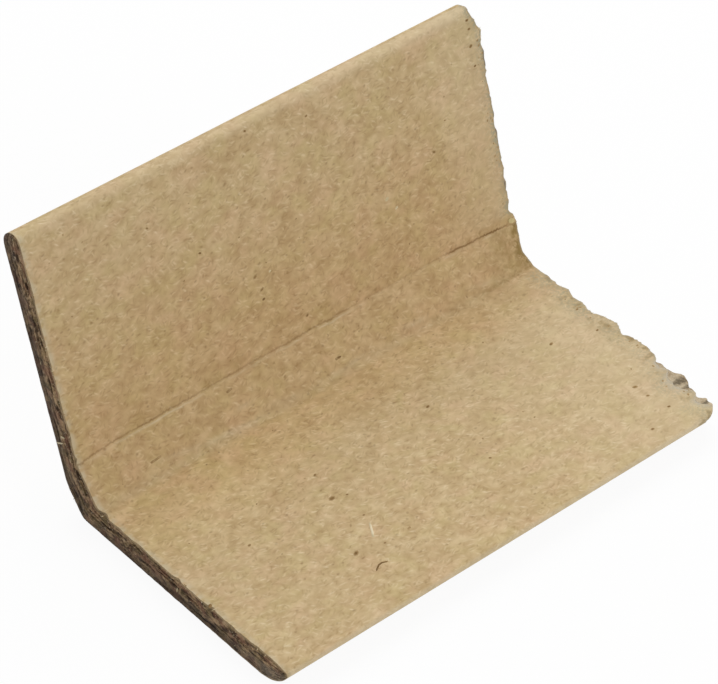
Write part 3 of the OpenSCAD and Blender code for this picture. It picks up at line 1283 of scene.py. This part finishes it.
# Kinds of bits: name of the piece, name of the material, its darkest and lightest colours
BIT_PIECES = {
    "dark": ("dark_fibres", "dark_fibre", (116, 90, 55), (148, 121, 80)),
    "faint": ("faint_fibres", "faint_fibre", (152, 125, 85), (176, 149, 107)),
    "chip": ("torn_chip", "torn_chip", (190, 172, 120), (204, 187, 138)),
    "pale": ("pale_fibres", "pale_fibre", (198, 182, 144), (224, 211, 180)),
}
# Dark specks on the lower leg: distance from the cut end, distance out from the corner, half length
LOWER_SPECKS = [
    (31.0, 22.4, 0.55), (25.7, 34.8, 0.5), (84.6, 17.4, 0.36), (87.9, 34.8, 0.4), (33.5, 23.3, 0.22),
    (32.5, 16.3, 0.3), (57.3, 32.0, 0.25), (57.8, 15.7, 0.35), (13.7, 22.2, 0.3), (30.8, 36.0, 0.22),
    (32.4, 28.8, 0.2), (88.0, 37.8, 0.28), (88.8, 42.1, 0.28), (82.8, 44.4, 0.3), (93.1, 19.9, 0.25),
    (94.2, 13.6, 0.25),
]
# Dark specks on the upper leg: distance from the cut end, distance up from the crease, half length
UPPER_SPECKS = [
    (41.4, 15.5, 0.4), (42.1, 12.7, 0.32), (42.1, 10.9, 0.3), (49.9, 4.0, 0.3), (32.0, 24.4, 0.25),
    (45.7, 40.8, 0.25), (58.1, 38.1, 0.25), (82.3, 20.5, 0.35), (23.3, 33.1, 0.25), (94.4, 40.3, 0.3),
    (94.5, 38.6, 0.3), (94.2, 35.5, 0.35), (94.3, 31.7, 0.25),
]
SPECK_TURN = (-0.6, 0.6)
# A dark speck's faint rim and dark heart: share of its half length, rise, lift above the face
SPECK_RIM = (1.35, 0.03, 0.02)
SPECK_HEART = (0.85, 0.05, 0.03)
# Pale specks on the upper leg, given as the dark ones are
PALE_SPECKS = [(44.5, 15.1, 0.3), (70.8, 16.6, 0.5), (72.4, 14.2, 0.4)]
PALE_TURN = (0.3, 0.9)
# Faint specks along the tear: number, and ranges along the inside, behind the tear and of half lengths
TORN_SPECKS = 64
TORN_SPECK_U = (3, U_TOP)
TORN_SPECK_BACK = (0.15, 1.6)
TORN_SPECK_HALF = (0.15, 0.35)
# Faint specks strewn over the inside: number, and ranges from the cut end, along it and of half lengths
FAINT_SPECKS = 60
FAINT_SPECK_X = (3, LENGTH - 6)
FAINT_SPECK_U = (4, U_TOP)
FAINT_SPECK_HALF = (0.14, 0.26)
FAINT_TURN = (-1.5, 1.5)
# Fibres laid on the inside face, as points by distance from the cut end and distance out from the corner
HAIR = [(25.1, 40.4), (25.9, 39.7), (26.7, 39.2), (27.4, 39.1), (28.1, 39.4), (29.0, 39.5)]
LONG_FIBRE = [(11.6, -2.7), (12.3, -2.7), (13.0, -2.75), (13.7, -2.8), (14.3, -2.9), (14.9, -2.95)]
PALE_FIBRE = [(32.3, 30.2), (31.9, 30.9), (31.4, 31.8), (30.9, 32.7), (30.3, 33.6), (29.9, 34.3)]
DARK_FIBRE = [(51.4, -2.7), (52.0, -2.7), (52.5, -2.75), (53.0, -2.7), (53.6, -2.65)]
# Kind of bit, radius and height that shows of each
LAID_FIBRES = [
    ("dark", 0.22, 0.11, HAIR),
    ("faint", 0.45, 0.08, DARK_FIBRE),
    ("dark", 0.22, 0.1, DARK_FIBRE[1:]),
    ("faint", 0.3, 0.09, LONG_FIBRE),
    ("faint", 0.3, 0.09, [(30.0, -6.6), (30.5, -6.8), (31.0, -6.9), (31.5, -7.0), (32.0, -7.2)]),
    ("faint", 0.3, 0.09, [(35.2, 36.3), (35.8, 36.0), (36.3, 35.8), (36.9, 35.6)]),
    ("pale", 0.32, 0.11, PALE_FIBRE),
]
# Burr at the cut edge: distance from the cut end, distance along the inside, half length, turn, rise
BURR = (0.3, 19.9, 0.5, 0.8, 0.25)
# Pale slit beside the burr: distances from the cut end and along the inside, lift and radius
SLIT = [(0.8, 18.6), (0.45, 18.75), (0.2, 18.85), (0.0, 18.95)]
SLIT_LIFT = 0.02
SLIT_RADIUS = 0.1
# Chip at the torn end of the crease, given as the burr is, with its lift
CHIP = (95.85, U_CREASE + 0.75, 0.8, -0.5, 0.12, 0.1)
# Pale slivers on the cut: distance along the inside, first and last depth
SLIVERS = [(28.0, 0.36, 0.62), (61.1, 0.45, 1.0), (61.9, 0.3, 0.6)]
SLIVER_STEPS = (0, 0.35, 0.7, 1)
SLIVER_PROUD = 0.02
SLIVER_LEAN = 0.15
SLIVER_RADIUS = 0.15
# Fibres that stand out of the two ends: number, start inside the end, and ranges of their values
FIBRE_STEPS = (0, 0.4, 0.75, 1)
TORN_FIBRES = 220
TORN_FIBRE_ROOT = 0.4
TORN_FIBRE = {
    "u": (2, U_END - 2),
    "edge depth": (0.0, 0.06),
    "core depth": (0.06, 0.9),
    "length": (0.35, 0.7),
    "drift": (-0.5, 0.5),
    "sink": (-0.03, 0.05),
    "radius": (0.03, 0.055),
}
CUT_FIBRES = 110
CUT_FIBRE_ROOT = 0.3
CUT_FIBRE = {
    "u": (1.5, U_END - 1.5),
    "edge depth": (0.0, 0.1),
    "core depth": (0.1, 0.95),
    "length": (0.25, 0.6),
    "drift": (-0.6, 0.6),
    "sink": (-0.1, 0.06),
    "radius": (0.03, 0.05),
}


def stand_fibre(bits, ranges, start, way, u, depth):
    """Stand a short fibre out of an end of the board, from a start inside it and one way along it."""
    length, drift, sink, radius = [rng.uniform(*ranges[k]) for k in ("length", "drift", "sink", "radius")]
    line = [core_point(start + way * length * t, u + drift * t, depth + sink * t) for t in FIBRE_STEPS]
    bits.strand(line, radius)


def torn_fibres(bits):
    """Short fibres that stand out of the torn end, half of them along the edge of the inside facing."""
    for number in range(TORN_FIBRES):
        at_edge = number % 2
        u = rng.uniform(*TORN_FIBRE["u"])
        depth = rng.uniform(*TORN_FIBRE["edge depth" if at_edge else "core depth"])
        start = np.interp(u, columns, inside_end if at_edge else reach) - TORN_FIBRE_ROOT
        stand_fibre(bits, TORN_FIBRE, start, 1, u, depth)


def cut_fibres(pale, dark):
    """Short fibres that stand out of the clean cut, about half of them along the inside facing."""
    for number in range(CUT_FIBRES):
        u = rng.uniform(*CUT_FIBRE["u"])
        depth = rng.choice([rng.uniform(*CUT_FIBRE[name]) for name in ("edge depth", "core depth")])
        stand_fibre(pale if number % 3 else dark, CUT_FIBRE, CUT_FIBRE_ROOT, -1, u, depth)


def strew_specks(bits):
    """Dark, pale and faint specks on the inside face."""
    specks = [(x, U_CORNER - out, half) for x, out, half in LOWER_SPECKS]
    specks += [(x, U_CREASE + up, half) for x, up, half in UPPER_SPECKS]
    for x, u, half in specks:
        turn = rng.uniform(*SPECK_TURN)
        for kind, (share, rise, lift) in (("faint", SPECK_RIM), ("dark", SPECK_HEART)):
            seat_flake(bits[kind], x, u, share * half, turn, rise, lift)
    for _ in range(TORN_SPECKS):
        u = rng.uniform(*TORN_SPECK_U)
        x = np.interp(u, columns, inside_end) - rng.uniform(*TORN_SPECK_BACK)
        half = rng.uniform(*TORN_SPECK_HALF)
        seat_flake(bits["faint"], x, u, half, rng.uniform(*FAINT_TURN), FAINT_RISE)
    for x, up, half in PALE_SPECKS:
        seat_flake(bits["pale"], x, U_CREASE + up, half, rng.uniform(*PALE_TURN))
    for _ in range(FAINT_SPECKS):
        x = rng.uniform(*FAINT_SPECK_X)
        u = rng.uniform(*FAINT_SPECK_U)
        half = rng.uniform(*FAINT_SPECK_HALF)
        seat_flake(bits["faint"], x, u, half, rng.uniform(*FAINT_TURN), FAINT_RISE)


def build_bits():
    bits = {kind: Bits() for kind in BIT_PIECES}
    strew_specks(bits)
    for kind, radius, show, points in LAID_FIBRES:
        line = [face_point(x, U_CORNER - out, show - radius) for x, out in points]
        bits[kind].strand(line, radius)
    seat_flake(bits["dark"], *BURR)
    bits["pale"].strand([face_point(x, u, SLIT_LIFT) for x, u in SLIT], SLIT_RADIUS)
    seat_flake(bits["chip"], *CHIP)
    for u, low, high in SLIVERS:
        line = [core_point(-SLIVER_PROUD, u + SLIVER_LEAN * t, low + (high - low) * t) for t in SLIVER_STEPS]
        bits["pale"].strand(line, SLIVER_RADIUS)
    torn_fibres(bits["pale"])
    cut_fibres(bits["pale"], bits["dark"])
    for kind, (name, material, dark, light) in BIT_PIECES.items():
        bits[kind].finish(name, fibre_material(material, dark, light))


# Stage, light and camera

CAMERA_PLACE = Vector((-293.35, -339.13, 413.64)) * MM
CAMERA_AIM = Vector((-2.8, 1.65, 23.7)) * MM
CAMERA_LENS = 181.13
CAMERA_SENSOR = 36.0
FLOOR_SIZE = 4.0
FLOOR_DROP = 0.1 * MM
FLOOR_GLOW = 0.93
FLOOR_PAINT = (0.9, 0.9, 0.9, 1)
BACKGROUND = (1, 1, 1, 1)
AMBIENT = 0.42
# Softboxes: direction from the object, distance, width, share of the plain level of light
SOFTBOXES = [
    ((0.3, 0.45, 0.85), 0.9, 0.9, 0.66),
    ((0.3, -0.8, 0.5), 1.0, 0.8, 0.34),
]


def shown_rays(nodes):
    """1 for rays that show the background itself, straight, mirrored or through glass."""
    path = nodes.add("ShaderNodeLightPath", {})
    kinds = ("Is Camera Ray", "Is Glossy Ray", "Is Transmission Ray")
    straight, mirrored, through = [path.outputs[kind] for kind in kinds]
    return nodes.math("MAXIMUM", nodes.math("MAXIMUM", straight, mirrored), through)


def build_floor():
    half = FLOOR_SIZE / 2
    mesh = bpy.data.meshes.new("floor")
    corners = [(-half, -half), (half, -half), (half, half), (-half, half)]
    mesh.from_pydata([(x, y, -FLOOR_DROP) for x, y in corners], [], [(0, 1, 2, 3)])
    material = bpy.data.materials.new("floor_white")
    material.use_nodes = True
    material.node_tree.nodes.clear()
    nodes = Nodes(material.node_tree)
    paint = nodes.add("ShaderNodeBsdfDiffuse", {"Color": FLOOR_PAINT}).outputs[0]
    glow = nodes.add("ShaderNodeEmission", {}).outputs[0]
    share = nodes.math("MULTIPLY", shown_rays(nodes), FLOOR_GLOW)
    blend = nodes.add("ShaderNodeMixShader", {0: share, 1: paint, 2: glow})
    nodes.add("ShaderNodeOutputMaterial", {"Surface": blend.outputs[0]})
    mesh.materials.append(material)
    floor = linked("floor", mesh)


def build_world():
    world = bpy.data.worlds.new("studio")
    world.use_nodes = True
    nodes = Nodes(world.node_tree)
    inputs = {"Value": shown_rays(nodes), "To Min": AMBIENT, "To Max": 1.0}
    level = nodes.add("ShaderNodeMapRange", inputs)
    background = world.node_tree.nodes["Background"]
    nodes.set(background.inputs["Color"], BACKGROUND)
    nodes.set(background.inputs["Strength"], level.outputs["Result"])
    bpy.context.scene.world = world


def build_lights():
    for number, (direction, distance, width, share) in enumerate(SOFTBOXES):
        lamp = bpy.data.lights.new(f"softbox_{number}", "AREA")
        lamp.shape = "DISK"
        lamp.size = width
        lamp.energy = share * (math.pi * distance) ** 2
        light = linked(lamp.name, lamp)
        way = Vector(direction).normalized()
        light.location = CAMERA_AIM + way * distance
        light.rotation_euler = way.to_track_quat("Z", "Y").to_euler()


def build_camera():
    data = bpy.data.cameras.new("camera")
    data.lens = CAMERA_LENS
    data.sensor_width = CAMERA_SENSOR
    data.clip_end = FLOOR_SIZE
    camera = linked("camera", data)
    camera.location = CAMERA_PLACE
    camera.rotation_euler = (CAMERA_AIM - CAMERA_PLACE).to_track_quat("-Z", "Y").to_euler()
    bpy.context.scene.camera = camera


build_board()
build_bits()
build_floor()
build_world()
build_lights()
build_camera()
bpy.context.scene.view_settings.view_transform = "Standard"
